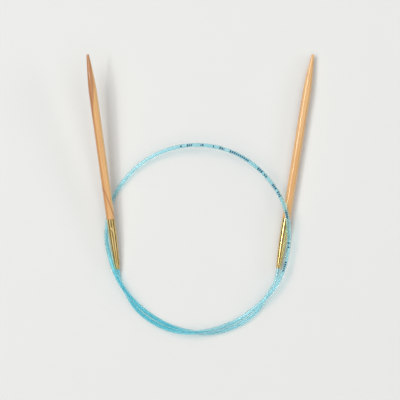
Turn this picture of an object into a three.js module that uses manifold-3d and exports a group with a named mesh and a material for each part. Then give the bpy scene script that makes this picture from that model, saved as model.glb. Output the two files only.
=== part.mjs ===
// Circular knitting needle: two wooden needles in brass ferrules, joined by one hollow nylon cord.
// Millimetres, +Z up. The origin is on the resting surface, midway between the two needles.
// The right needle lies flat, the left one rests on the cord, and the cord lies in one loop and a half.
import * as THREE from "three";
import { mergeVertices } from "three/addons/utils/BufferGeometryUtils.js";
import Module from "manifold-3d";

// Needle: lengths are measured from the ferrule's narrow end, where the cord butts against it.
const NEEDLE_LENGTH = 104;
const SHAFT_RADIUS = 2; // a 4 mm needle
const TIP_RADIUS = 0.65;
const TAPER_LENGTH = 17.5;
const TAPER_POWER = 1.35;
const TAPER_RINGS = [1, 0.82, 0.64, 0.46, 0.3, 0.16, 0.06, 0]; // shares of the taper, from its foot
const TIP_RINGS = [0.6, 0.3, 0.08]; // shares of the tip radius, from the taper's top
const TENON_RADIUS = 1.2;
const GLUE_LINE = 0.05; // radial gap round the tenon
const END_GAP = 0.1; // axial gap between the shaft's shoulder and the ferrule's rim

// Ferrule: a bullet shape that narrows to the cord.
const FERRULE_LENGTH = 24.2;
const FERRULE_RADIUS = 1.9;
const FERRULE_END_RADIUS = 1.1;
const FERRULE_TAPER = 18;
const FERRULE_POWER = 1.5;
const FERRULE_RINGS = [2, 5, 8, 11, 14, FERRULE_TAPER];
const LIP_ROUND = 0.15;
const PIN_BORE_RADIUS = 0.5;
const PIN_BORE_DEPTH = 8.4;
const SOCKET_FLOOR = 9;

// Crimp: the oval punch mark that locks each ferrule on its shaft.
const CRIMP_FROM_RIM = 5;
const CRIMP_RADII = [0.5, 0.8, 0.45];
const CRIMP_DEPTH = 0.2;
const CRIMP_SIDES = 12;

// Barbed pin: its shank sits in the ferrule and its barbs in the cord's bore, with clearance all round.
const PIN_RADIUS = 0.45;
const PIN_IN_FERRULE = 6;
const PIN_IN_CORD = 4;
const PIN_CORE_RADIUS = 0.34;
const BARB_RADIUS = 0.42;
const BARB_COUNT = 3;
const BARB_CREST = 0.7; // where a barb is widest, as a share of its length
const BARB_BACK = 0.85; // where its steep side ends

// Cord: a nylon tube, cut here into the run that lies still and the two ends that bend with the needles.
const CORD_RADIUS = 1;
const CORD_BORE_RADIUS = 0.6;
const CORD_SIDES = 8;
const CORD_STEP = 5;
const CORD_LEAST_STEPS = 3;
const ROUTE_DIVISIONS = 2000; // for measuring distances along the route
const CORD_GAP = 0.3;
const BEND_DISTANCE = 10.5; // along the cord, from a ferrule to the place where it bends

const MERGE_DISTANCE = 1e-4; // corners closer than this are one corner

const SIDES = 24; // facets round each turned piece
const FLAT_SHARE = Math.cos(Math.PI / SIDES); // from a facet's middle to the axis, as a share of the radius

// Where the needles lie: the place of each ferrule's narrow end, and the way the needle points.
const LEFT = {
  place: [-39.8, -49.5, 1.55],
  lean: 7.8,
  pitch: 5.6,
  roll: -9,
};
const RIGHT = {
  place: [37.2, -49.2, SHAFT_RADIUS * FLAT_SHARE],
  lean: -9.2,
  pitch: 0,
  roll: 180,
};

// The cord's route, from the left ferrule to the right one. It runs along the bottom, up outside the right
// ferrule and over its needle, round the top, under the left needle and along the bottom once more.
const ROUTE = [
  [-39.8, -49.5, 1.55],
  [-39.1, -54.4, 1.1],
  [-36.7, -59, 1.1],
  [-32, -67.1, 1.1],
  [-24, -74.3, 1.2],
  [-14.1, -78.8, 2.4],
  [-3.4, -79.9, 3.4],
  [7, -78.2, 2.4],
  [16.6, -74.5, 1.2],
  [25.1, -68.8, 2.4],
  [32.8, -61.5, 3.6],
  [38.4, -53.1, 3.8],
  [41.4, -43, 3.7],
  [42.3, -34.5, 4.2],
  [41.8, -26.5, 5.2],
  [39.5, -18, 5.5],
  [33.9, -8.3, 5.5],
  [25.9, 0, 5.4],
  [16.1, 6.1, 5.1],
  [5, 9.4, 4.6],
  [-6.5, 9.7, 4],
  [-17.7, 7, 3.2],
  [-27.9, 1.5, 2.3],
  [-36.2, -6.5, 1.5],
  [-41.9, -15.6, 1.1],
  [-44.6, -26, 1.1],
  [-45.2, -34.8, 1.1],
  [-43.6, -43.4, 1.8],
  [-41, -51.3, 3.3],
  [-36.7, -59, 3.4],
  [-30.8, -65.9, 2.6],
  [-22.8, -72.4, 1.2],
  [-13.6, -77.2, 1.1],
  [-3.4, -79.8, 1.1],
  [7.3, -79.9, 1.1],
  [17.6, -76.6, 1.1],
  [26.4, -70.2, 1.1],
  [31.8, -62.5, 1.1],
  [36.4, -54.1, 2],
  [37.2, -49.2, 2],
];

const OLIVE_WOOD = new THREE.MeshStandardMaterial({ color: 0xd9a566, roughness: 0.45, metalness: 0 });
const GILT_BRASS = new THREE.MeshStandardMaterial({ color: 0xc9a24a, roughness: 0.2, metalness: 1 });
const PIN_METAL = new THREE.MeshStandardMaterial({ color: 0xb8bcc0, roughness: 0.35, metalness: 1 });
const CYAN_NYLON = new THREE.MeshStandardMaterial({ color: 0x8fd8e0, roughness: 0.25, metalness: 0 });

const wasm = await Module();
wasm.setup();

const radians = THREE.MathUtils.degToRad;

/** A solid of revolution about +Y from [radius, height] pairs, with one facet facing straight down. */
function turned(profile) {
  const points = profile.map(([radius, height]) => new THREE.Vector2(radius, height));
  return new THREE.LatheGeometry(points, SIDES, Math.PI / SIDES);
}

/** A geometry as a manifold-3d solid. */
function toSolid(geometry) {
  const bare = geometry.clone();
  bare.deleteAttribute("normal");
  bare.deleteAttribute("uv");
  const merged = mergeVertices(bare, MERGE_DISTANCE);
  return new wasm.Manifold(
    new wasm.Mesh({
      numProp: 3,
      vertProperties: merged.attributes.position.array,
      triVerts: new Uint32Array(merged.index.array),
    }),
  );
}

/** A manifold-3d solid as a geometry. */
function toGeometry(solid) {
  const mesh = solid.getMesh();
  const geometry = new THREE.BufferGeometry();
  geometry.setAttribute("position", new THREE.BufferAttribute(mesh.vertProperties, 3));
  geometry.setIndex(new THREE.BufferAttribute(mesh.triVerts, 1));
  geometry.computeVertexNormals();
  return geometry;
}

/** The shaft's radius at a distance from its point: a round end, then a taper that eases into full width. */
function shaftRadius(fromPoint) {
  if (fromPoint < TIP_RADIUS) return Math.sqrt(TIP_RADIUS ** 2 - (TIP_RADIUS - fromPoint) ** 2);
  const left = Math.max(0, 1 - (fromPoint - TIP_RADIUS) / TAPER_LENGTH);
  return TIP_RADIUS + (SHAFT_RADIUS - TIP_RADIUS) * (1 - left ** TAPER_POWER);
}

/** The wooden needle: a tenon inside the ferrule, a straight shank and a tapered point. */
function shaftGeometry() {
  const tenonFoot = SOCKET_FLOOR + END_GAP;
  const shoulder = FERRULE_LENGTH + END_GAP;
  const profile = [
    [0, tenonFoot],
    [TENON_RADIUS, tenonFoot],
    [TENON_RADIUS, shoulder],
    [SHAFT_RADIUS, shoulder],
  ];
  const taper = TAPER_RINGS.map((share) => TIP_RADIUS + share * TAPER_LENGTH);
  const round = TIP_RINGS.map((share) => share * TIP_RADIUS);
  for (const fromPoint of [...taper, ...round]) {
    profile.push([shaftRadius(fromPoint), NEEDLE_LENGTH - fromPoint]);
  }
  profile.push([0, NEEDLE_LENGTH]);
  return turned(profile);
}

/** The ferrule's outer radius at a distance from its narrow end. */
function ferruleRadius(fromEnd) {
  const left = Math.max(0, 1 - fromEnd / FERRULE_TAPER);
  return FERRULE_RADIUS - (FERRULE_RADIUS - FERRULE_END_RADIUS) * left ** FERRULE_POWER;
}

/** The brass ferrule: a thin shell with a socket for the tenon, a small bore for the pin and a crimp mark. */
function ferruleGeometry() {
  const socket = TENON_RADIUS + GLUE_LINE;
  const outside = FERRULE_RINGS.map((height) => [ferruleRadius(height), height]);
  const shell = turned([
    [PIN_BORE_RADIUS, 0],
    [FERRULE_END_RADIUS - LIP_ROUND, 0],
    [FERRULE_END_RADIUS, LIP_ROUND],
    ...outside,
    [FERRULE_RADIUS, FERRULE_LENGTH],
    [socket, FERRULE_LENGTH],
    [socket, SOCKET_FLOOR],
    [PIN_BORE_RADIUS, PIN_BORE_DEPTH],
    [PIN_BORE_RADIUS, 0],
  ]);
  const punch = new THREE.SphereGeometry(1, CRIMP_SIDES, CRIMP_SIDES / 2);
  punch.scale(...CRIMP_RADII);
  punch.translate(0, FERRULE_LENGTH - CRIMP_FROM_RIM, FERRULE_RADIUS + CRIMP_RADII[2] - CRIMP_DEPTH);
  return toGeometry(toSolid(shell).subtract(toSolid(punch)));
}

/** The barbed pin: a plain shank in the ferrule and a row of barbs in the cord, each steep on one side. */
function pinGeometry() {
  const pitch = PIN_IN_CORD / BARB_COUNT;
  const profile = [[0, -PIN_IN_CORD]];
  for (let barb = 0; barb < BARB_COUNT; barb++) {
    const foot = -PIN_IN_CORD + barb * pitch;
    const crest = foot + BARB_CREST * pitch;
    const back = foot + BARB_BACK * pitch;
    profile.push([PIN_CORE_RADIUS, foot], [BARB_RADIUS, crest], [PIN_CORE_RADIUS, back]);
  }
  profile.push([PIN_RADIUS, 0], [PIN_RADIUS, PIN_IN_FERRULE], [0, PIN_IN_FERRULE]);
  return turned(profile);
}

const route = new THREE.CatmullRomCurve3(
  ROUTE.map((point) => new THREE.Vector3(...point)),
  false,
  "centripetal",
);
route.arcLengthDivisions = ROUTE_DIVISIONS;
const cordLength = route.getLength();

/** The stretch of the cord's route between two distances along it. */
class Stretch extends THREE.Curve {
  constructor(from, to) {
    super();
    this.from = from;
    this.to = to;
  }
  getPoint(share) {
    const distance = this.from + share * (this.to - this.from);
    return route.getPointAt(distance / cordLength);
  }
}

/** The corners of the cord's eight-sided section, or of its bore. */
function corners(radius) {
  return Array.from({ length: CORD_SIDES }, (_, side) => {
    const angle = (2 * Math.PI * side) / CORD_SIDES;
    return new THREE.Vector2(radius * Math.cos(angle), radius * Math.sin(angle));
  });
}

/** The nylon tube between two distances along the route. */
function cordGeometry(from, to) {
  const section = new THREE.Shape(corners(CORD_RADIUS));
  section.holes.push(new THREE.Path(corners(CORD_BORE_RADIUS)));
  return new THREE.ExtrudeGeometry(section, {
    steps: Math.max(CORD_LEAST_STEPS, Math.round((to - from) / CORD_STEP)),
    extrudePath: new Stretch(from, to),
    bevelEnabled: false,
  });
}

function named(name, geometry, material) {
  const mesh = new THREE.Mesh(geometry, material);
  mesh.name = name;
  return mesh;
}

/** One needle with its ferrule and pin, turned to the way it lies. */
function needle(side, { place, lean, pitch, roll }) {
  const group = new THREE.Group();
  group.add(
    named(`${side}_shaft`, shaftGeometry(), OLIVE_WOOD),
    named(`${side}_ferrule`, ferruleGeometry().rotateY(radians(roll)), GILT_BRASS),
    named(`${side}_barb_pin`, pinGeometry(), PIN_METAL),
  );
  group.position.set(...place);
  group.rotation.set(radians(pitch), 0, radians(lean), "ZXY");
  return group;
}

// Where the cord bends, as distances along its route.
const leftBend = BEND_DISTANCE;
const rightBend = cordLength - BEND_DISTANCE;

const circularNeedle = new THREE.Group();
circularNeedle.add(
  needle("left", LEFT),
  needle("right", RIGHT),
  named("left_cord_end", cordGeometry(CORD_GAP, leftBend - CORD_GAP / 2), CYAN_NYLON),
  named("cord_run", cordGeometry(leftBend + CORD_GAP / 2, rightBend - CORD_GAP / 2), CYAN_NYLON),
  named("right_cord_end", cordGeometry(rightBend + CORD_GAP / 2, cordLength - CORD_GAP), CYAN_NYLON),
);

export default circularNeedle;
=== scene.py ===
"""Circular knitting needle: two olive-wood needles in gilt ferrules, joined by one looped nylon cord.

Every surface is worked out with numpy in the part's own frame, in metres, and dressed with node materials.
"""

import logging
import math
from collections.abc import Callable, Sequence
from dataclasses import dataclass, field
from enum import Enum

import bmesh
import bpy
import numpy as np
from numpy.typing import NDArray
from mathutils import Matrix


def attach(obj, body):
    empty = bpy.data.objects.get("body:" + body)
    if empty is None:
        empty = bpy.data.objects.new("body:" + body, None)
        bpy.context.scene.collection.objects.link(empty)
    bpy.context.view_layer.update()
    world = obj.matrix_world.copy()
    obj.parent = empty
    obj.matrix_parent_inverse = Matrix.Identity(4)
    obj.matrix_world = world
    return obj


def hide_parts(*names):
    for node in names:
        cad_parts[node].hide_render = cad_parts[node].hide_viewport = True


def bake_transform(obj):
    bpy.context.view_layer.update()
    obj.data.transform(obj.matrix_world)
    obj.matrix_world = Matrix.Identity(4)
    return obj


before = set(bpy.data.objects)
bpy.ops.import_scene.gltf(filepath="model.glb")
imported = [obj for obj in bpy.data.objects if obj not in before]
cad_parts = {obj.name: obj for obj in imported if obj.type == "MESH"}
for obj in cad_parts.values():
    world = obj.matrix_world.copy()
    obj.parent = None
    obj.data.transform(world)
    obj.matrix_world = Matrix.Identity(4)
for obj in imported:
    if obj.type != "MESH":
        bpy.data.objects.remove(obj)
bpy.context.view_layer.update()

log = logging.getLogger("circular_needle")

Array = NDArray[np.float64]
Colour = tuple[float, float, float]
Triple = tuple[float, float, float]
Pair = tuple[float, float]
Socket = bpy.types.NodeSocket
Material = bpy.types.Material
Piece = bpy.types.Object

MM = 0.001
UV_NAME = "lengthwise"
BLANK_NAME = "blank"
INNER_WALL_SHIFT = 2.0  # what an inner wall adds to the UV map's second number

# The cord's route in metres, from the left ferrule to the right one, the same points as the CAD model's.
ROUTE: Sequence[Triple] = (
    (-0.0398, -0.0495, 0.00155),
    (-0.0391, -0.0544, 0.0011),
    (-0.0367, -0.0590, 0.0011),
    (-0.0320, -0.0671, 0.0011),
    (-0.0240, -0.0743, 0.0012),
    (-0.0141, -0.0788, 0.0024),
    (-0.0034, -0.0799, 0.0034),
    (0.0070, -0.0782, 0.0024),
    (0.0166, -0.0745, 0.0012),
    (0.0251, -0.0688, 0.0024),
    (0.0328, -0.0615, 0.0036),
    (0.0384, -0.0531, 0.0038),
    (0.0414, -0.0430, 0.0037),
    (0.0423, -0.0345, 0.0042),
    (0.0418, -0.0265, 0.0052),
    (0.0395, -0.0180, 0.0055),
    (0.0339, -0.0083, 0.0055),
    (0.0259, 0.0000, 0.0054),
    (0.0161, 0.0061, 0.0051),
    (0.0050, 0.0094, 0.0046),
    (-0.0065, 0.0097, 0.0040),
    (-0.0177, 0.0070, 0.0032),
    (-0.0279, 0.0015, 0.0023),
    (-0.0362, -0.0065, 0.0015),
    (-0.0419, -0.0156, 0.0011),
    (-0.0446, -0.0260, 0.0011),
    (-0.0452, -0.0348, 0.0011),
    (-0.0436, -0.0434, 0.0018),
    (-0.0410, -0.0513, 0.0033),
    (-0.0367, -0.0590, 0.0034),
    (-0.0308, -0.0659, 0.0026),
    (-0.0228, -0.0724, 0.0012),
    (-0.0136, -0.0772, 0.0011),
    (-0.0034, -0.0798, 0.0011),
    (0.0073, -0.0799, 0.0011),
    (0.0176, -0.0766, 0.0011),
    (0.0264, -0.0702, 0.0011),
    (0.0318, -0.0625, 0.0011),
    (0.0364, -0.0541, 0.0020),
    (0.0372, -0.0492, 0.0020),
)

# Where each group of printed ticks starts, and where it ends, in millimetres along the cord.
TICK_STARTS = (107, 118.5, 132.5, 144, 155, 167, 180, 185, 195.5)
TICK_ENDS = (113, 121.5, 137, 151, 162, 178, 182.5, 191.5, 201.5)


# --- Surfaces ---


def ring_grid(rows: int, sides: int, closed: bool) -> Sequence[NDArray[np.int64]]:
    """The ring and the side at which each quad begins; the last ring begins quads only when closed."""
    return np.meshgrid(np.arange(rows if closed else rows - 1), np.arange(sides), indexing="ij")


def ring_faces(rows: int, sides: int, closed: bool) -> NDArray[np.int64]:
    """The quads between neighbouring rings of points.

    Quad (i, j) joins points j and j + 1 of ring i to the same two of ring i + 1, with j counted round.

    Args:
        rows: how many rings there are.
        sides: how many points each ring has.
        closed: whether the last ring joins the first one.

    Returns:
        One row of four point numbers for each quad.
    """
    ring, side = ring_grid(rows, sides, closed)
    here = ring * sides
    after = (ring + 1) % rows * sides
    beside = (side + 1) % sides
    return np.stack([here + side, here + beside, after + beside, after + side], -1).reshape(-1, 4)


def enclosed_volume(points: Array, quads: NDArray[np.int64]) -> float:
    """Six times the volume inside the quads, the sum of a . (b x c + c x d) over their corners."""
    a, b, c, d = (points[quads[:, k]] for k in range(4))
    return float((a * (np.cross(b, c) + np.cross(c, d))).sum())


@dataclass
class Skin:
    """A grid of rings that becomes one closed mesh.

    Attributes:
        rings: the points, ring by ring, with shape (rows, sides, 3).
        closed: whether the last ring joins the first, as on a shell whose outside runs on into its inside.
        along: each ring's place along the piece, the first number of the UV map.
        inside: for each ring, 1 on an inner wall and 0 on the outer one.
    """

    rings: Array
    closed: bool
    along: Array
    inside: Array | None = None

    def quads(self) -> tuple[NDArray[np.int64], bool]:
        """The quads, turned round where they enclose a negative volume, and whether they were."""
        rows, sides, _ = self.rings.shape
        quads = ring_faces(rows, sides, self.closed)
        turned = enclosed_volume(self.rings.reshape(-1, 3), quads) < 0
        return (quads[:, ::-1] if turned else quads), turned

    def uv(self, turned: bool) -> Array:
        """Each face corner's place along the piece and share of a turn, shifted on an inner wall."""
        rows, sides, _ = self.rings.shape
        ring, side = ring_grid(rows, sides, self.closed)
        after = (ring + 1) % rows
        wall = np.zeros(rows) if self.inside is None else self.inside
        here = self.along[ring]
        there = self.along[after]
        along = np.stack([here, here, there, there], -1)
        around = np.stack([side, side + 1, side + 1, side], -1) / sides
        around = around + INNER_WALL_SHIFT * wall[ring][..., None]
        uv = np.stack([along, around], -1).reshape(-1, 4, 2)
        return (uv[:, ::-1] if turned else uv).reshape(-1, 2)

    def build(self, name: str, blank: Array | None = None) -> Piece:
        """Makes the mesh object.

        Args:
            name: the piece's name.
            blank: each point's place in the piece's own straight frame, in millimetres.

        Returns:
            The new object, at the origin, with smooth faces.
        """
        quads, turned = self.quads()
        mesh = bpy.data.meshes.new(name)
        mesh.vertices.add(self.rings[..., 0].size)
        mesh.vertices.foreach_set("co", self.rings.reshape(-1))
        mesh.loops.add(quads.size)
        mesh.loops.foreach_set("vertex_index", quads.reshape(-1))
        mesh.polygons.add(len(quads))
        mesh.polygons.foreach_set("loop_start", np.arange(0, quads.size, 4))
        mesh.polygons.foreach_set("use_smooth", np.ones(len(quads), bool))
        mesh.uv_layers.new(name=UV_NAME).uv.foreach_set("vector", self.uv(turned).reshape(-1))
        if blank is not None:
            grain = mesh.attributes.new(BLANK_NAME, "FLOAT_VECTOR", "POINT")
            grain.data.foreach_set("vector", blank.reshape(-1))
        mesh.update(calc_edges=True)
        mesh.validate()
        piece = bpy.data.objects.new(name, mesh)
        bpy.context.scene.collection.objects.link(piece)
        return piece


def turned_rings(profile: Array, sides: int) -> Array:
    """A profile carried round +Y: radius r and height y give (r sin a, y, r cos a) at each angle a.

    Args:
        profile: radius and height of each ring.
        sides: how many points go round.

    Returns:
        The rings, with shape (rows, sides, 3).
    """
    angle = np.linspace(0, 2 * np.pi, sides, endpoint=False)
    radius, height = profile[:, 0, None], profile[:, 1, None]
    return np.stack([radius * np.sin(angle), height + 0 * angle, radius * np.cos(angle)], -1)


def refined(profile: Array, step: float) -> Array:
    """A profile with points added along each straight stretch, no further apart than step."""
    gaps = np.hypot(*np.diff(profile, axis=0).T)
    counts = np.maximum(1, np.ceil(gaps / step)).astype(int)
    leg = np.repeat(np.arange(len(counts)), counts)
    share = (np.arange(len(leg)) - np.repeat(np.cumsum(counts) - counts, counts)) / counts[leg]
    inner = profile[leg] + share[:, None] * (profile[leg + 1] - profile[leg])
    return np.vstack([inner, profile[-1:]])


def arc(centre: Pair, radius: float, start: float, stop: float, count: int) -> Array:
    """Points on a round corner of a profile, from one angle to another, in degrees."""
    angle = np.radians(np.linspace(start, stop, count))
    return np.stack([centre[0] + radius * np.cos(angle), centre[1] + radius * np.sin(angle)], -1)


# --- Materials ---


class Graph:
    """A node material under construction, with short ways to add and link its nodes."""

    def __init__(self, name: str) -> None:
        """Starts an empty node tree with its output and one Principled shader."""
        self.material = bpy.data.materials.new(name)
        self.material.use_nodes = True
        self.tree = self.material.node_tree
        self.tree.nodes.clear()
        self.shader = self.node("BsdfPrincipled")
        self.output = self.node("OutputMaterial")
        self.tree.links.new(self.shader.outputs["BSDF"], self.output.inputs["Surface"])

    def node(self, kind: str) -> bpy.types.Node:
        """Adds a shader node of that kind."""
        return self.tree.nodes.new(f"ShaderNode{kind}")

    def put(self, target: Socket, value: object) -> None:
        """Links a socket to a target, or sets the target's own value."""
        if isinstance(value, Socket):
            self.tree.links.new(value, target)
        elif isinstance(value, tuple) and len(value) == 3 and target.type == "RGBA":
            target.default_value = (*value, 1.0)
        else:
            target.default_value = value

    def attribute(self, name: str) -> Socket:
        """The vector stored on the mesh under that name."""
        node = self.node("Attribute")
        node.attribute_name = name
        return node.outputs["Vector"]

    def uv(self) -> tuple[Socket, Socket]:
        """The UV map's two numbers: the place along the piece and the share of a turn round it."""
        source = self.node("UVMap")
        source.uv_map = UV_NAME
        split = self.node("SeparateXYZ")
        self.tree.links.new(source.outputs["UV"], split.inputs[0])
        return split.outputs["X"], split.outputs["Y"]

    def object_place(self) -> Socket:
        """The point's own coordinates in the part's frame."""
        return self.node("TexCoord").outputs["Object"]

    def mapped(self, vector: object, scale: Triple, shift: Triple = (0, 0, 0)) -> Socket:
        """A vector, scaled along each axis and then shifted."""
        node = self.node("Mapping")
        self.put(node.inputs["Vector"], vector)
        node.inputs["Scale"].default_value = scale
        node.inputs["Location"].default_value = shift
        return node.outputs["Vector"]

    def noise(self, vector: object, detail: float, rough: float = 0.5, distortion: float = 0.0) -> Socket:
        """Fractal noise from 0 to 1, whose features are about one unit of the vector in size."""
        node = self.node("TexNoise")
        self.put(node.inputs["Vector"], vector)
        node.inputs["Scale"].default_value = 1.0
        node.inputs["Detail"].default_value = detail
        node.inputs["Roughness"].default_value = rough
        node.inputs["Distortion"].default_value = distortion
        return node.outputs["Fac"]

    def speckle(self, value: object) -> Socket:
        """An even random number from 0 to 1 for each value."""
        node = self.node("TexWhiteNoise")
        node.noise_dimensions = "1D"
        self.put(node.inputs["W"], value)
        return node.outputs["Value"]

    def math(self, operation: str, a: object, b: object = 0.0, c: object = 0.0) -> Socket:
        """One step of arithmetic."""
        node = self.node("Math")
        node.operation = operation
        for socket, value in zip(node.inputs, (a, b, c)):
            self.put(socket, value)
        return node.outputs[0]

    def ramped(
        self, value: object, low: float, high: float, start: float = 0.0, end: float = 1.0
    ) -> Socket:
        """A value taken smoothly from one range to another and held at its ends."""
        node = self.node("MapRange")
        node.interpolation_type = "SMOOTHSTEP"
        for socket, number in zip(node.inputs, (value, low, high, start, end)):
            self.put(socket, number)
        return node.outputs[0]

    def split(self, vector: object) -> tuple[Socket, ...]:
        """A vector's three numbers."""
        node = self.node("SeparateXYZ")
        self.put(node.inputs[0], vector)
        return tuple(node.outputs)

    def mixed(self, share: object, first: object, second: object) -> Socket:
        """Two colours mixed: the first at share 0 and the second at share 1."""
        node = self.node("Mix")
        node.data_type = "RGBA"
        self.put(node.inputs["Factor"], share)
        self.put(node.inputs["A"], first)
        self.put(node.inputs["B"], second)
        return node.outputs["Result"]

    def bump(self, height: object, strength: float, distance: float) -> None:
        """Gives the shader a bump from a height."""
        node = self.node("Bump")
        node.inputs["Strength"].default_value = strength
        node.inputs["Distance"].default_value = distance
        self.put(node.inputs["Height"], height)
        self.put(self.shader.inputs["Normal"], node.outputs["Normal"])

    def let_lamps_through(self, tint: object) -> None:
        """Lets light reach what lies under a clear piece, tinted at each wall that it passes."""
        clear = self.node("BsdfTransparent")
        self.put(clear.inputs["Color"], tint)
        path = self.node("LightPath")
        either = self.math("MAXIMUM", path.outputs["Is Shadow Ray"], path.outputs["Is Diffuse Ray"])
        blend = self.node("MixShader")
        self.put(blend.inputs["Fac"], either)
        self.tree.links.new(self.shader.outputs["BSDF"], blend.inputs[1])
        self.tree.links.new(clear.outputs["BSDF"], blend.inputs[2])
        self.tree.links.new(blend.outputs["Shader"], self.output.inputs["Surface"])

    def finish(self, **inputs: object) -> Material:
        """Sets or links the shader's inputs, named with _ for a space, and returns the material."""
        for name, value in inputs.items():
            self.put(self.shader.inputs[name.replace("_", " ")], value)
        return self.material


@dataclass(frozen=True)
class OliveWood:
    """Oiled olive wood: a golden ground, reddish figure along the needle, fine fibres and short pores.

    Lengths are in millimetres in the needle's own straight frame: x across, y from ferrule to point. Each
    scale is a pattern's features per millimetre of x, y and z, and each share is how strongly it shows.

    Attributes:
        seed: shifts the grain, so that no two needles are cut from the same place.
        heart: how far the reddish heartwood reaches in from the -X edge near the point.
        warm_edge: how strongly the -X side is tinted amber, from 0 to 1.
        painted_light_edge: how strongly the +X side is painted paler, painted light that stands in for more
            light falling on that side, from 0 to 1.
        streak: how strongly one slanting brown growth line shows, from 0 to 1.
        streak_start: the height at which that line leaves the -X edge.
        streak_slope: how far it crosses for each millimetre that it comes down.
        edge: how far the -X edge lies from the needle's axis.
        heart_heights: the heights between which the heartwood reaches in.
        waver: how far the grain's warp moves the heartwood, the edges and the growth line.
        pale, gold, amber, russet: the wood's colours, from the lightest to the darkest; pale is also the
            colour of the painted light on the +X side.
    """

    name: str
    seed: float
    heart: float = 0.0
    warm_edge: float = 0.0
    # Painted light: how strongly the +X side is painted paler, from 0 to 1.
    painted_light_edge: float = 0.0
    streak: float = 0.0
    streak_start: float = 41.0
    streak_slope: float = 0.246
    edge: float = 2.0
    heart_heights: Pair = (66.0, 92.0)
    heart_share: float = 0.88
    waver: float = 2.0
    warp_scale: Triple = (0.25, 0.03, 0.25)
    figure_scale: Triple = (0.8, 0.022, 0.8)
    line_scale: Triple = (3.2, 0.035, 3.2)
    line_share: float = 0.62
    fibre_scale: Triple = (14.0, 0.35, 14.0)
    fibre_share: float = 0.42
    pore_scale: Triple = (7.0, 0.9, 7.0)
    pore_share: float = 0.4
    pore_share_in_heart: float = 0.35
    pore_depth: float = 0.8
    pale: Colour = (0.80, 0.485, 0.20)
    gold: Colour = (0.73, 0.39, 0.125)
    amber: Colour = (0.60, 0.27, 0.075)
    russet: Colour = (0.42, 0.165, 0.055)

    def heartwood(self, g: Graph, across: Socket, height: Socket) -> Socket:
        """The reddish heartwood's mask, which grows in from the -X edge as the needle nears its point."""
        edge = g.ramped(height, *self.heart_heights, -self.edge, self.heart - self.edge)
        return g.ramped(g.math("SUBTRACT", across, edge), 0.45, -0.35)

    def growth_line(self, g: Graph, across: Socket, height: Socket) -> Socket:
        """The slanting growth line's mask: dark in its middle and soft at both sides."""
        crossed = g.math("MULTIPLY", g.math("SUBTRACT", height, self.streak_start), self.streak_slope)
        off = g.math("ABSOLUTE", g.math("ADD", g.math("ADD", across, self.edge), crossed))
        return g.ramped(off, 0.55, 0.1, 0.0, self.streak)

    def material(self) -> Material:
        """Builds the material, whose patterns follow the needle's own straight frame."""
        g = Graph(self.name)
        blank = g.attribute(BLANK_NAME)
        across, height, _ = g.split(blank)
        warp = g.noise(g.mapped(blank, self.warp_scale, (self.seed, 0, 0)), 2.0)
        figure = g.noise(g.mapped(blank, self.figure_scale, (self.seed, 3.0, 1.0)), 3.0, 0.55, 0.6)
        lines = g.noise(g.mapped(blank, self.line_scale, (0, self.seed, 2.0)), 2.0, 0.5, 0.35)
        fibres = g.noise(g.mapped(blank, self.fibre_scale, (self.seed, 1.0, 0)), 3.0, 0.6)
        pitting = g.noise(g.mapped(blank, self.pore_scale, (2.0, self.seed, 0)), 1.0)
        pores = g.ramped(pitting, 0.64, 0.74)
        waver = g.math("MULTIPLY_ADD", g.math("SUBTRACT", warp, 0.5), self.waver, across)
        heart = self.heartwood(g, waver, height)
        ground = g.mixed(g.ramped(figure, 0.36, 0.62), self.pale, self.gold)
        ground = g.mixed(g.ramped(lines, 0.5, 0.68, 0.0, self.line_share), ground, self.amber)
        ground = g.mixed(g.ramped(waver, -0.3, -1.3, 0.0, self.warm_edge), ground, self.amber)
        # Painted light: the +X side of the wood is painted paler, as if more light fell on it.
        ground = g.mixed(g.ramped(waver, 0.4, 1.5, 0.0, self.painted_light_edge), ground, self.pale)
        ground = g.mixed(g.math("MULTIPLY", heart, self.heart_share), ground, self.russet)
        ground = g.mixed(self.growth_line(g, waver, height), ground, self.russet)
        thread = g.ramped(fibres, 0.42, 0.78, 0.0, self.fibre_share)
        ground = g.mixed(thread, ground, self.amber)
        pore_share = g.math("MULTIPLY_ADD", heart, self.pore_share_in_heart, self.pore_share)
        ground = g.mixed(g.math("MULTIPLY", pores, pore_share), ground, self.russet)
        relief = g.math("MULTIPLY_ADD", pores, -self.pore_depth, fibres)
        g.bump(relief, strength=0.1, distance=0.02 * MM)
        return g.finish(
            Base_Color=ground,
            Roughness=g.ramped(fibres, 0.3, 0.75, start=0.46, end=0.6),
            IOR=1.5,
            Coat_Weight=1.0,
            Coat_Roughness=0.08,
            Coat_IOR=1.68,
        )


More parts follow.
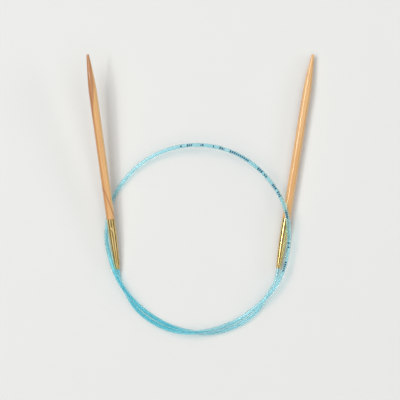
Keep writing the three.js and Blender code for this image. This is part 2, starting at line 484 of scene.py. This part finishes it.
@dataclass(frozen=True)
class GiltBrass:
    """Polished gold-plated brass, with faint turning marks, handling smudges and fine scratches.

    Attributes:
        gold, deep: its colour where it is clean and where it is smudged.
        smudge_scale, turning_scale, scratch_scale: features per millimetre of x, y and z.
        polish: its roughness where it is clean and where it is smudged.
        scratch_rise, scratch_height: how much a scratch adds to the roughness and to the relief.
    """

    name: str = "gilt_brass"
    gold: Colour = (0.79, 0.60, 0.265)
    deep: Colour = (0.64, 0.45, 0.165)
    smudge_scale: Triple = (0.5, 0.22, 0.5)
    turning_scale: Triple = (0.05, 16.0, 0.05)
    scratch_scale: Triple = (9.0, 0.5, 9.0)
    polish: Pair = (0.12, 0.19)
    scratch_rise: float = 0.06
    scratch_height: float = 0.4

    def material(self) -> Material:
        """Builds the material, whose patterns follow the needle's own straight frame."""
        g = Graph(self.name)
        blank = g.attribute(BLANK_NAME)
        smudge = g.noise(g.mapped(blank, self.smudge_scale), 4.0, 0.6)
        turning = g.noise(g.mapped(blank, self.turning_scale), 2.0)
        scratch = g.noise(g.mapped(blank, self.scratch_scale), 2.0)
        colour = g.mixed(g.ramped(smudge, 0.35, 0.7), self.gold, self.deep)
        polish = g.ramped(smudge, 0.35, 0.75, *self.polish)
        rough = g.math("ADD", polish, g.ramped(scratch, 0.6, 0.8, 0.0, self.scratch_rise))
        relief = g.math("MULTIPLY_ADD", scratch, self.scratch_height, turning)
        g.bump(relief, strength=0.02, distance=0.001 * MM)
        return g.finish(Base_Color=colour, Metallic=1.0, Roughness=rough)


@dataclass(frozen=True)
class PinSteel:
    """Bare turned metal with fine rings along its length.

    Attributes:
        grey, dull: its colour where it is bright and where it is stained.
        ring_scale, stain_scale: features per millimetre of x, y and z.
        polish: its roughness between the turning rings and on them.
    """

    name: str = "pin_steel"
    grey: Colour = (0.62, 0.63, 0.64)
    dull: Colour = (0.42, 0.43, 0.44)
    ring_scale: Triple = (0.2, 11.0, 0.2)
    stain_scale: Triple = (1.3, 1.3, 1.3)
    polish: Pair = (0.3, 0.45)

    def material(self) -> Material:
        """Builds the material, whose patterns follow the needle's own straight frame."""
        g = Graph(self.name)
        blank = g.attribute(BLANK_NAME)
        rings = g.noise(g.mapped(blank, self.ring_scale), 2.0)
        stain = g.noise(g.mapped(blank, self.stain_scale), 3.0)
        g.bump(rings, strength=0.15, distance=0.01 * MM)
        return g.finish(
            Base_Color=g.mixed(g.ramped(stain, 0.4, 0.7), self.grey, self.dull),
            Metallic=1.0,
            Roughness=g.ramped(rings, 0.3, 0.7, *self.polish),
        )


@dataclass(frozen=True)
class CyanNylon:
    """Clear cyan nylon, with faint draw lines and a row of plain printed ticks along one stretch.

    The row is short bars in groups. A bar is left out where its own random number, from 0 to 1, is low, and
    a second number sets how tall it is.

    Attributes:
        printed: the start and end of each group of ticks, in millimetres along the cord.
        clear, milky, deep: its colour where it is clearest and where it is cloudiest, and the deeper, darker
            cyan painted as shade where it lies on the floor.
        lamp_tint: the share of each colour of a lamp's light that one wall lets pass.
        clearness, haze: how much light passes, and how far that varies to each side.
        tick_pitch, tick_width: the ticks' spacing in millimetres, and the share of it that a tick fills.
        tick_gaps: the share of the ticks that is left out.
        tick_top, tick_reach: the row's middle and its reach to each side, as shares of a turn.
        tick_heights: the shortest tick and how much taller the tallest is, in reaches.
        height_draw: what is added to a tick's place to draw its second random number.
        shaded_stretches: where the cord lies on the floor in its own and its neighbours' shade, painted in
            the deeper colour as painted shade, in millimetres along the cord.
        shade_fade: how far to each side of a stretch's end that painted shade fades.
        draw_scale: how many draw lines a millimetre of length and a whole turn have.
        haze_scale: how many clouds a metre has.
    """

    printed: Sequence[Pair]
    name: str = "cyan_nylon"
    clear: Colour = (0.69, 0.92, 0.955)
    milky: Colour = (0.59, 0.885, 0.935)
    # Painted shade: a deeper, darker cyan for the stretches that lie in shade on the floor.
    deep: Colour = (0.40, 0.865, 0.94)
    ink: Colour = (0.02, 0.10, 0.19)
    lamp_tint: Colour = (0.80, 0.91, 0.93)
    clearness: float = 0.965
    haze: float = 0.025
    tick_pitch: float = 1.05
    tick_width: float = 0.68
    tick_gaps: float = 0.22
    tick_top: float = 0.25
    tick_reach: float = 0.1
    tick_heights: Pair = (0.6, 0.5)
    height_draw: float = 7.7
    # Painted shade: the stretches that lie on the floor, in millimetres along the cord.
    shaded_stretches: Sequence[Pair] = ((-40.0, 52.0), (268.0, 330.0))
    shade_fade: float = 16.0
    draw_scale: Pair = (0.05, 9.0)
    haze_scale: float = 60.0

    def ticks(self, g: Graph) -> Socket:
        """The printed row's mask: 1 on ink and 0 elsewhere."""
        along, around = g.uv()
        shortest, spread = self.tick_heights
        cell = g.math("SNAP", along, self.tick_pitch)
        shown = g.math("GREATER_THAN", g.speckle(cell), self.tick_gaps)
        share = g.math("FRACT", g.math("DIVIDE", along, self.tick_pitch))
        within = g.math("LESS_THAN", share, self.tick_width)
        tall = g.math("MULTIPLY_ADD", g.speckle(g.math("ADD", cell, self.height_draw)), spread, shortest)
        off_top = g.math("ABSOLUTE", g.math("SUBTRACT", around, self.tick_top))
        low_enough = g.math("LESS_THAN", off_top, g.math("MULTIPLY", tall, self.tick_reach))
        group = 0.0
        for start, end in self.printed:
            here = g.math("COMPARE", along, (start + end) / 2, (end - start) / 2)
            group = g.math("MAXIMUM", here, group)
        inside = g.math("MULTIPLY", low_enough, group)
        return g.math("MULTIPLY", g.math("MULTIPLY", shown, within), inside)

    def depth(self, g: Graph, along: Socket) -> Socket:
        """The painted shade's mask: 1 well inside the stretches that lie on the floor, fading to 0 at their
        ends.
        """
        depth = 0.0
        for start, end in self.shaded_stretches:
            off = g.math("ABSOLUTE", g.math("SUBTRACT", along, (start + end) / 2))
            half = (end - start) / 2
            depth = g.math("MAXIMUM", g.ramped(off, half + self.shade_fade, half - self.shade_fade), depth)
        return depth

    def material(self) -> Material:
        """Builds the material from the cord's lengthwise UV map and Object coordinates."""
        g = Graph(self.name)
        mask = self.ticks(g)
        along, around = g.uv()
        join = g.node("CombineXYZ")
        for axis, (number, scale) in enumerate(zip((along, around), self.draw_scale)):
            g.put(join.inputs[axis], g.math("MULTIPLY", number, scale))
        draw = g.noise(join.outputs[0], 2.0)
        haze = g.noise(g.mapped(g.object_place(), (self.haze_scale,) * 3), 3.0)
        body = g.mixed(g.ramped(haze, 0.35, 0.7), self.clear, self.milky)
        # Painted shade: the stretches that lie on the floor are painted the deeper, darker cyan.
        body = g.mixed(self.depth(g, along), body, self.deep)
        clearness = g.ramped(haze, 0.3, 0.75, self.clearness + self.haze, self.clearness - self.haze)
        g.bump(draw, strength=0.06, distance=0.02 * MM)
        g.let_lamps_through(g.mixed(mask, self.lamp_tint, self.ink))
        return g.finish(
            Base_Color=g.mixed(mask, body, self.ink),
            Roughness=g.ramped(draw, 0.3, 0.7, start=0.2, end=0.28),
            IOR=1.5,
            Transmission_Weight=g.math("MULTIPLY", g.math("SUBTRACT", 1.0, mask), clearness),
        )


# --- Needles ---


class Side(Enum):
    """Which needle of the pair."""

    LEFT = "left"
    RIGHT = "right"

    def node(self, piece: str) -> str:
        """The name of this side's CAD node for a piece, such as left_shaft."""
        return f"{self.value}_{piece}"


@dataclass
class Blank:
    """The straight frame that a needle is turned in, and where the CAD model lays it.

    +Y runs from the ferrule's narrow end to the point, and +Z stays as near to straight up as it can.

    Attributes:
        foot: the middle of the ferrule's narrow end.
        along: the unit vector from there to the point.
    """

    foot: Array
    along: Array

    @classmethod
    def of(cls, side: Side) -> "Blank":
        """Reads a needle's place from its CAD nodes.

        The axis is the direction in which the shaft's corners spread furthest. The foot is the point of the
        axis level with the ferrule's first corner.

        Args:
            side: which needle.

        Returns:
            The needle's straight frame.
        """
        shaft = corners(side.node("shaft"))
        middle = shaft.mean(0)
        along = np.linalg.svd(shaft - middle)[2][0]
        along = along * np.sign(along[1])
        reach = (corners(side.node("ferrule")) - middle) @ along
        return cls(middle + reach.min() * along, along)

    def place(self, points: Array) -> Array:
        """Points of the straight frame, in millimetres, laid where the needle lies, in metres."""
        across = np.cross(self.along, (0.0, 0.0, 1.0))
        across /= np.linalg.norm(across)
        axes = np.stack([across, self.along, np.cross(across, self.along)])
        return self.foot + (points * MM) @ axes


def corners(node: str) -> Array:
    """A CAD node's vertices, in metres."""
    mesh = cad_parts[node].data
    points = np.empty(len(mesh.vertices) * 3)
    mesh.vertices.foreach_get("co", points)
    return points.reshape(-1, 3)


@dataclass
class Needle:
    """One wooden needle with its ferrule and barbed pin. Sizes are in millimetres from the ferrule's end.

    Attributes:
        side: which needle of the pair.
        wood: its wood finish.
        crimp_turn: how far round from straight up its crimp mark faces, in degrees towards +X.
        crimp_width, crimp_length: the mark's reach round the ferrule and along it.
        crimp_lip: the raised ring round it: its place and width in reaches, and its share of the depth.
        barb_shares: where a barb is widest and where it ends, as shares of the distance between barbs.
        taper_crowding: how closely the taper's rings crowd towards the shank.
        point_stop: how far up the point's quarter circle its rings go, in degrees, short of the pole.
        pole_radius: the tiny ring at each pole, which is merged into one point.
    """

    side: Side
    wood: OliveWood
    crimp_turn: float
    length: float = 104.0
    shaft_radius: float = 2.0
    tip_radius: float = 0.65
    taper_length: float = 17.5
    taper_power: float = 1.35
    tenon_radius: float = 1.2
    ferrule_length: float = 24.2
    ferrule_radius: float = 1.9
    ferrule_end_radius: float = 1.1
    ferrule_taper: float = 18.0
    ferrule_power: float = 1.5
    lip_round: float = 0.15
    bore_radius: float = 0.5
    bore_depth: float = 8.4
    socket_radius: float = 1.25
    socket_floor: float = 9.0
    end_gap: float = 0.1
    edge_round: float = 0.12
    crimp_from_rim: float = 5.0
    crimp_width: float = 0.52
    crimp_length: float = 0.9
    crimp_depth: float = 0.17
    crimp_lip: Triple = (1.45, 0.3, 0.1)
    pin_radius: float = 0.45
    pin_in_ferrule: float = 6.0
    pin_in_cord: float = 4.0
    barb_radius: float = 0.42
    barb_core: float = 0.34
    barb_shares: Pair = (0.7, 0.85)
    barbs: int = 3
    taper_rings: int = 60
    taper_crowding: float = 1.4
    point_rings: int = 12
    point_stop: float = 89.0
    edge_rings: int = 6
    lip_rings: int = 7
    bullet_rings: int = 90
    barrel_rings: int = 70
    pole_radius: float = 1e-4
    bore_chamfer: float = 0.1
    shaft_step: float = 1.5
    bore_step: float = 2.0
    pin_step: float = 0.4
    shaft_sides: int = 72
    ferrule_sides: int = 120
    pin_sides: int = 32
    blank: Blank = field(init=False)

    def __post_init__(self) -> None:
        """Reads where the CAD model lays this needle."""
        self.blank = Blank.of(self.side)

    def shaft_profile(self) -> Array:
        """The wood's outline from the tenon's foot to the point.

        The point is a quarter circle. Above it the radius eases into the full one as the power of what is
        left of the taper.

        Returns:
            Radius and height of each ring.
        """
        foot = self.socket_floor + self.end_gap
        shoulder = self.ferrule_length + self.end_gap
        edge = self.edge_round
        full = self.shaft_radius
        left = np.linspace(1, 0, self.taper_rings) ** self.taper_crowding
        taper = self.tip_radius + (full - self.tip_radius) * (1 - left**self.taper_power)
        height = self.length - self.tip_radius - self.taper_length * (1 - left)
        slope = np.stack([taper, height], -1)[::-1]
        centre = (0.0, self.length - self.tip_radius)
        point = arc(centre, self.tip_radius, 0.0, self.point_stop, self.point_rings)[1:]
        lower = np.array(
            [
                [self.pole_radius, foot],
                [self.tenon_radius - edge, foot],
                [self.tenon_radius, foot + edge],
                [self.tenon_radius, shoulder],
            ],
        )
        rim = arc((full - edge, shoulder + edge), edge, -90.0, 0.0, self.edge_rings)
        return np.vstack([lower, refined(np.vstack([rim, slope]), self.shaft_step), point])

    def ferrule_profile(self) -> Array:
        """The ferrule's outline, up its outside, over its rim and down its bore, back to where it began.

        The outside is the full radius less the rest of the taper to a power, so it bulges like a bullet.

        Returns:
            Radius and height of each ring; the last joins the first.
        """
        lip = self.lip_round
        edge = self.edge_round
        full = self.ferrule_radius
        top = self.ferrule_length
        height = np.linspace(lip, self.ferrule_taper, self.bullet_rings)
        left = 1 - height / self.ferrule_taper
        narrowed = (full - self.ferrule_end_radius) * left**self.ferrule_power
        outside = np.stack([full - narrowed, height], -1)
        foot_round = arc((outside[0, 0] - lip, lip), lip, -90.0, 0.0, self.lip_rings)[:-1]
        level = np.linspace(self.ferrule_taper, top - edge, self.barrel_rings + 1)[1:]
        barrel = np.stack([np.full(self.barrel_rings, full), level], -1)
        rim = arc((full - edge, top - edge), edge, 0.0, 90.0, self.edge_rings)[1:]
        bore = np.array(
            [
                [self.socket_radius, top],
                [self.socket_radius, self.socket_floor],
                [self.bore_radius, self.bore_depth],
                [self.bore_radius, self.bore_chamfer],
                [self.bore_radius + self.bore_chamfer, 0.0],
            ],
        )
        return np.vstack([foot_round, outside, barrel, rim, refined(bore, self.bore_step)])

    def crimped(self, rings: Array) -> Array:
        """Presses the oval crimp mark into the ferrule's outer wall.

        A point moves in by depth times exp(-d^3), with d its distance from the mark's middle in reaches, and
        a narrow bell of d raises a slight ring round the mark.

        Args:
            rings: the ferrule's rings in the straight frame.

        Returns:
            The rings with the mark.
        """
        x, y, z = np.moveaxis(rings, -1, 0)
        radius = np.hypot(x, z)
        turn = np.arctan2(x, z) - np.radians(self.crimp_turn)
        around = (np.mod(turn + np.pi, 2 * np.pi) - np.pi) * self.ferrule_radius
        along = y - (self.ferrule_length - self.crimp_from_rim)
        out = np.hypot(around / self.crimp_width, along / self.crimp_length)
        lip_at, lip_width, lip_share = self.crimp_lip
        hollow = -self.crimp_depth * np.exp(-(out**3))
        lip = lip_share * self.crimp_depth * np.exp(-(((out - lip_at) / lip_width) ** 2))
        on_wall = radius > (self.socket_radius + self.ferrule_radius) / 2
        share = 1 + np.where(on_wall, hollow + lip, 0.0) / radius
        return np.stack([x * share, y, z * share], -1)

    def pin_profile(self) -> Array:
        """The pin's outline: a row of sawtooth barbs in the cord, then a plain shank in the ferrule."""
        pitch = self.pin_in_cord / self.barbs
        crest, back = self.barb_shares
        foot = -self.pin_in_cord + pitch * np.arange(self.barbs)[:, None]
        height = np.concatenate([foot, foot + crest * pitch, foot + back * pitch], 1).reshape(-1)
        radius = np.tile([self.barb_core, self.barb_radius, self.barb_core], self.barbs)
        shank = np.array([[self.pin_radius, 0.0], [self.pin_radius, self.pin_in_ferrule]])
        low_pole = np.array([[self.pole_radius, -self.pin_in_cord]])
        high_pole = np.array([[self.pole_radius, self.pin_in_ferrule]])
        teeth = np.stack([radius, height], -1)
        return refined(np.vstack([low_pole, teeth, shank, high_pole]), self.pin_step)

    def lay(
        self,
        piece: str,
        profile: Array,
        sides: int,
        closed: bool,
        shape: Callable[[Array], Array] | None = None,
    ) -> Piece:
        """Turns a profile, lays it where the needle lies and makes it stand for its CAD node.

        Args:
            piece: the last part of the CAD node's name, such as shaft.
            profile: radius and height of each ring.
            sides: how many points go round.
            closed: whether the profile closes on itself.
            shape: changes the rings before they are laid.

        Returns:
            The finished piece, riding on its needle's body.
        """
        rings = turned_rings(profile, sides)
        if shape is not None:
            rings = shape(rings)
        laid = self.blank.place(rings.reshape(-1, 3)).reshape(rings.shape)
        made = Skin(laid, closed, profile[:, 1]).build(f"{self.side.value}_{piece}_fine", rings)
        if not closed:
            close_poles(made, len(profile), sides)
        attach(made, f"{self.side.value}_needle")
        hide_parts(self.side.node(piece))
        return made

    def build(self, gilt: Material, steel: Material) -> list[Piece]:
        """Makes the shaft, the ferrule and the pin.

        Args:
            gilt: the ferrule's material.
            steel: the pin's material.

        Returns:
            The three pieces.
        """
        shaft = self.lay("shaft", self.shaft_profile(), self.shaft_sides, False)
        ferrule = self.lay("ferrule", self.ferrule_profile(), self.ferrule_sides, True, self.crimped)
        pin = self.lay("barb_pin", self.pin_profile(), self.pin_sides, False)
        dress = (
            (shaft, self.wood.material(), "olive_wood"),
            (ferrule, gilt, "gilt_brass"),
            (pin, steel, "pin_steel"),
        )
        for piece, material, slot in dress:
            piece.data.materials.append(material)
        return [shaft, ferrule, pin]


def close_poles(piece: Piece, rows: int, sides: int) -> None:
    """Merges the tiny ring at each end of a turned piece into one point in its middle."""
    shape = bmesh.new()
    shape.from_mesh(piece.data)
    shape.verts.ensure_lookup_table()
    rings = [[shape.verts[start + k] for k in range(sides)] for start in (0, (rows - 1) * sides)]
    for ring in rings:
        middle = sum((vertex.co for vertex in ring), ring[0].co * 0) / sides
        bmesh.ops.pointmerge(shape, verts=ring, merge_co=middle)
    shape.to_mesh(piece.data)
    shape.free()
    piece.data.update()


# --- Cord ---


@dataclass
class NylonCord:
    """The hollow nylon cord, in metres: a neck at each ferrule, and the loop between them.

    Attributes:
        finish: its nylon finish.
        radius: the tube's outer radius.
        bore: its inner radius.
        neck: how much of each end is its own piece.
        bend: how far from a ferrule, along the cord, a neck would bend; build works out that place but sets
            up no bend.
        bend_reach: how far that bend would spread to each side of that place.
        butt: the gap to the ferrule's end.
        rim: how far from each end the ring that holds its shading lies.
        step: how far apart the other rings are.
        probe: how far to each side of a ring the cord's direction is taken.
        sides: how many points go round.
    """

    finish: CyanNylon
    radius: float = 1.0 * MM
    bore: float = 0.6 * MM
    neck: float = 32.0 * MM
    bend: float = 10.5 * MM
    bend_reach: float = 4.5 * MM
    butt: float = 0.03 * MM
    rim: float = 0.01 * MM
    step: float = 0.45 * MM
    probe: float = 0.05 * MM
    sides: int = 28
    line: Array = field(init=False)
    distance: Array = field(init=False)

    def __post_init__(self) -> None:
        """Works out the smooth line through the route and the distance along it."""
        heading = [Blank.of(side).along for side in Side]
        self.line = smooth_line(np.array(ROUTE), -heading[0], heading[1])
        steps = np.linalg.norm(np.diff(self.line, axis=0), axis=1)
        self.distance = np.concatenate([[0.0], np.cumsum(steps)])

    @property
    def length(self) -> float:
        """The whole cord's length, from ferrule to ferrule."""
        return float(self.distance[-1])

    def at(self, where: Array | float) -> Array:
        """The points at these distances along the cord."""
        return np.stack([np.interp(where, self.distance, self.line[:, k]) for k in range(3)], -1)

    def tube(self, start: float, end: float) -> tuple[Skin, Array]:
        """The hollow tube between two distances along the cord.

        A ring is the centre plus the radius times (side cos a + up sin a), with side level and square to
        the cord and up square to both. Rings go out along the outer wall and back along the bore, which
        closes the surface. One more ring close to each end keeps smooth shading from rounding the rim off.

        Args:
            start: the distance where it begins.
            end: the distance where it ends.

        Returns:
            The surface, and the centre of each of its outer rings.
        """
        between = np.linspace(start, end, round((end - start) / self.step) + 1)[1:-1]
        where = np.concatenate([[start, start + self.rim], between, [end - self.rim, end]])
        centre = self.at(where)
        ahead = self.at(where + self.probe) - self.at(where - self.probe)
        side = np.cross(ahead, (0.0, 0.0, 1.0))
        side /= np.linalg.norm(side, axis=1, keepdims=True)
        up = np.cross(side, ahead)
        up /= np.linalg.norm(up, axis=1, keepdims=True)
        angle = np.linspace(0, 2 * np.pi, self.sides, endpoint=False)[:, None]
        round_it = side[:, None] * np.cos(angle) + up[:, None] * np.sin(angle)
        outer = centre[:, None] + self.radius * round_it
        inner = (centre[:, None] + self.bore * round_it)[::-1]
        along = np.concatenate([where, where[::-1]]) / MM
        wall = np.repeat([0.0, 1.0], len(where))
        return Skin(np.concatenate([outer, inner]), True, along, wall), centre

    def piece(self, name: str, start: float, end: float, *nodes: str) -> tuple[Piece, Array]:
        """Makes one stretch of the cord, which stands for the named CAD nodes.

        Args:
            name: the piece's name.
            start: the distance along the cord where it begins.
            end: the distance where it ends.
            nodes: the CAD nodes that it replaces.

        Returns:
            The piece, and the points that it follows.
        """
        skin, centre = self.tube(start, end)
        made = skin.build(name)
        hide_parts(*nodes)
        return made, centre

    def build(self) -> list[Piece]:
        """Returns:
            The three pieces.
        """
        material = self.finish.material()
        low = self.bend - self.bend_reach
        high = self.bend + self.bend_reach
        whole = self.length
        loop, loop_line = self.piece("cord_loop", self.neck, whole - self.neck, "cord_run")
        left, left_line = self.piece("left_cord_neck", self.butt, self.neck, "left_cord_end")
        ending = (whole - self.neck, whole - self.butt)
        right, right_line = self.piece("right_cord_neck", *ending, "right_cord_end")
        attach(loop, "cord")
        for neck, needle, near, far in (
            (left, "left_needle", low, high),
            (right, "right_needle", whole - low, whole - high),
        ):
            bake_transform(neck)
        for stretch in (left, loop, right):
            stretch.data.materials.append(material)
        return [left, loop, right]


def smooth_line(points: Array, start_way: Array, end_way: Array, per_leg: int = 40) -> Array:
    """A smooth line through points: cubic legs whose directions and bends agree where they meet.

    With each leg's parameter as long as its chord h, the slopes m at the points solve
    h2 m0 + 2 (h1 + h2) m1 + h1 m2 = 3 (h2 s1 + h1 s2), where s is a leg's chord over its length.

    Args:
        points: what the line goes through.
        start_way: the unit direction in which it sets out.
        end_way: the unit direction in which it arrives.
        per_leg: how many points each leg gets.

    Returns:
        The points of the line.
    """
    chord = np.diff(points, axis=0)
    h = np.linalg.norm(chord, axis=1)
    secant = chord / h[:, None]
    inner = np.arange(1, len(points) - 1)
    system = np.eye(len(points))
    system[inner, inner - 1] = h[1:]
    system[inner, inner] = 2 * (h[:-1] + h[1:])
    system[inner, inner + 1] = h[:-1]
    right = np.vstack([start_way, 3 * (h[1:, None] * secant[:-1] + h[:-1, None] * secant[1:]), end_way])
    slope = np.linalg.solve(system, right)
    t = np.linspace(0, 1, per_leg, endpoint=False)[None, :, None]
    p0 = points[:-1, None]
    p1 = points[1:, None]
    m0 = slope[:-1, None] * h[:, None, None]
    m1 = slope[1:, None] * h[:, None, None]
    legs = (2 * t**3 - 3 * t**2 + 1) * p0 + (t**3 - 2 * t**2 + t) * m0
    legs = legs + (3 * t**2 - 2 * t**3) * p1 + (t**3 - t**2) * m1
    return np.vstack([legs.reshape(-1, 3), points[-1:]])


# --- Studio ---


@dataclass(frozen=True)
class Softbox:
    """A rectangular soft light that faces the object, with one pair of its sides level.

    Attributes:
        name: the light's name.
        place: where it stands, in metres.
        size: its level side and its slanting side, in metres.
        watts: its power.
        mirrored: whether shiny surfaces show its reflection.
    """

    name: str
    place: Triple
    size: Pair
    watts: float
    mirrored: bool = True

    def build(self) -> Piece:
        """Adds the light to the scene, unseen by the camera."""
        data = bpy.data.lights.new(self.name, "AREA")
        data.shape = "RECTANGLE"
        data.energy = self.watts
        data.size, data.size_y = self.size
        light = bpy.data.objects.new(self.name, data)
        x, y, z = self.place
        light.location = self.place
        light.rotation_euler = (math.acos(z / math.hypot(x, y, z)), 0.0, math.atan2(x, -y))
        light.visible_camera = False
        light.visible_glossy = self.mirrored
        bpy.context.scene.collection.objects.link(light)
        return light


@dataclass
class Studio:
    """The plain pale floor, the soft lights and the camera straight above, in metres.

    Attributes:
        view_width, view_centre: how much of the floor the picture shows, and the middle of that.
        lens: the camera's focal length, in millimetres.
        clip: the nearest and the furthest that it sees.
        mottle_scale: how many patches of mottle a metre of floor has.
        mottle_shade: how light the darkest patches are beside the lightest ones.
        room: the room's grey at each height, where 0 is level and 1 is straight up.
    """

    view_width: float = 0.192
    view_centre: Pair = (-0.0003, -0.0164)
    camera_height: float = 1.5
    lens: float = 280.0
    clip: Pair = (0.05, 20.0)
    floor_size: float = 6.0
    floor_colour: Colour = (0.745, 0.75, 0.731)
    mottle_scale: float = 40.0
    mottle_shade: float = 0.985
    lights: Sequence[Softbox] = (
        Softbox("key", (-2.54, 2.54, 3.82), (2.4, 2.4), 112.0),
        Softbox("strip", (-0.99, 0.17, 1.12), (0.5, 0.13), 3.5),
        Softbox("fill", (2.2, 0.2, 0.75), (1.6, 0.5), 13.0, mirrored=False),
    )
    room: Sequence[Pair] = ((0.0, 0.05), (0.5, 0.07), (0.58, 1.15), (0.86, 1.05), (0.95, 0.3))

    def camera(self) -> Piece:
        """Makes the scene's camera: it looks straight down with +Y at the top."""
        data = bpy.data.cameras.new("overhead")
        data.lens = self.lens
        data.sensor_width = self.view_width * self.lens / self.camera_height
        camera = bpy.data.objects.new("overhead", data)
        camera.location = (*self.view_centre, self.camera_height)
        data.clip_start, data.clip_end = self.clip
        bpy.context.scene.collection.objects.link(camera)
        bpy.context.scene.camera = camera
        return camera

    def floor(self) -> Piece:
        """Makes the floor, a flat square at height 0 with a faint even mottle."""
        half = self.floor_size / 2
        mesh = bpy.data.meshes.new("floor")
        square = [(-half, -half, 0), (half, -half, 0), (half, half, 0), (-half, half, 0)]
        mesh.from_pydata(square, [], [(0, 1, 2, 3)])
        floor = bpy.data.objects.new("floor", mesh)
        bpy.context.scene.collection.objects.link(floor)
        g = Graph("pale_floor")
        mottle = g.noise(g.mapped(g.object_place(), (self.mottle_scale,) * 3), 3.0)
        darker = tuple(self.mottle_shade * part for part in self.floor_colour)
        colour = g.mixed(mottle, self.floor_colour, darker)
        mesh.materials.append(g.finish(Base_Color=colour, Roughness=0.9))
        return floor

    def world(self) -> None:
        """Gives the scene a grey room: dark low down, light higher up and darker again overhead."""
        world = bpy.data.worlds.new("room")
        world.use_nodes = True
        tree = world.node_tree
        way = tree.nodes.new("ShaderNodeTexCoord")
        split = tree.nodes.new("ShaderNodeSeparateXYZ")
        ramp = tree.nodes.new("ShaderNodeValToRGB")
        tree.links.new(way.outputs["Generated"], split.inputs[0])
        tree.links.new(split.outputs["Z"], ramp.inputs["Fac"])
        stops = ramp.color_ramp.elements
        while len(stops) < len(self.room):
            stops.new(0.5)
        for stop, (height, grey) in zip(stops, self.room):
            stop.position = height
            stop.color = (grey, grey, grey, 1.0)
        tree.links.new(ramp.outputs["Color"], tree.nodes["Background"].inputs["Color"])
        bpy.context.scene.world = world

    def build(self) -> None:
        """Makes the camera, the floor, the lights and the room."""
        bpy.context.scene.view_settings.view_transform = "Standard"
        self.camera()
        self.floor()
        for light in self.lights:
            light.build()
        self.world()


def report(pieces: Sequence[Piece]) -> None:
    """Logs each piece's name and how many faces it has."""
    for piece in pieces:
        log.info("%s: %d faces", piece.name, len(piece.data.polygons))


def main() -> None:
    """Builds the studio, the cord and the needles, and reports each piece."""
    logging.basicConfig(level=logging.INFO, format="%(name)s: %(message)s")
    Studio().build()
    cord = NylonCord(CyanNylon(tuple(zip(TICK_STARTS, TICK_ENDS))))
    report(cord.build())
    log.info("cord: %.1f mm from ferrule to ferrule", cord.length / MM)
    gilt = GiltBrass().material()
    steel = PinSteel().material()
    left_wood = OliveWood("left_olive_wood", seed=4.0, heart=2.6, warm_edge=0.95, painted_light_edge=0.8, streak=0.8)
    right_wood = OliveWood("right_olive_wood", seed=11.0, painted_light_edge=0.5)
    left = Needle(Side.LEFT, left_wood, crimp_turn=-9.0)
    right = Needle(Side.RIGHT, right_wood, crimp_turn=180.0)
    for needle in (left, right):
        report(needle.build(gilt, steel))


if __name__ == "__main__":
    main()
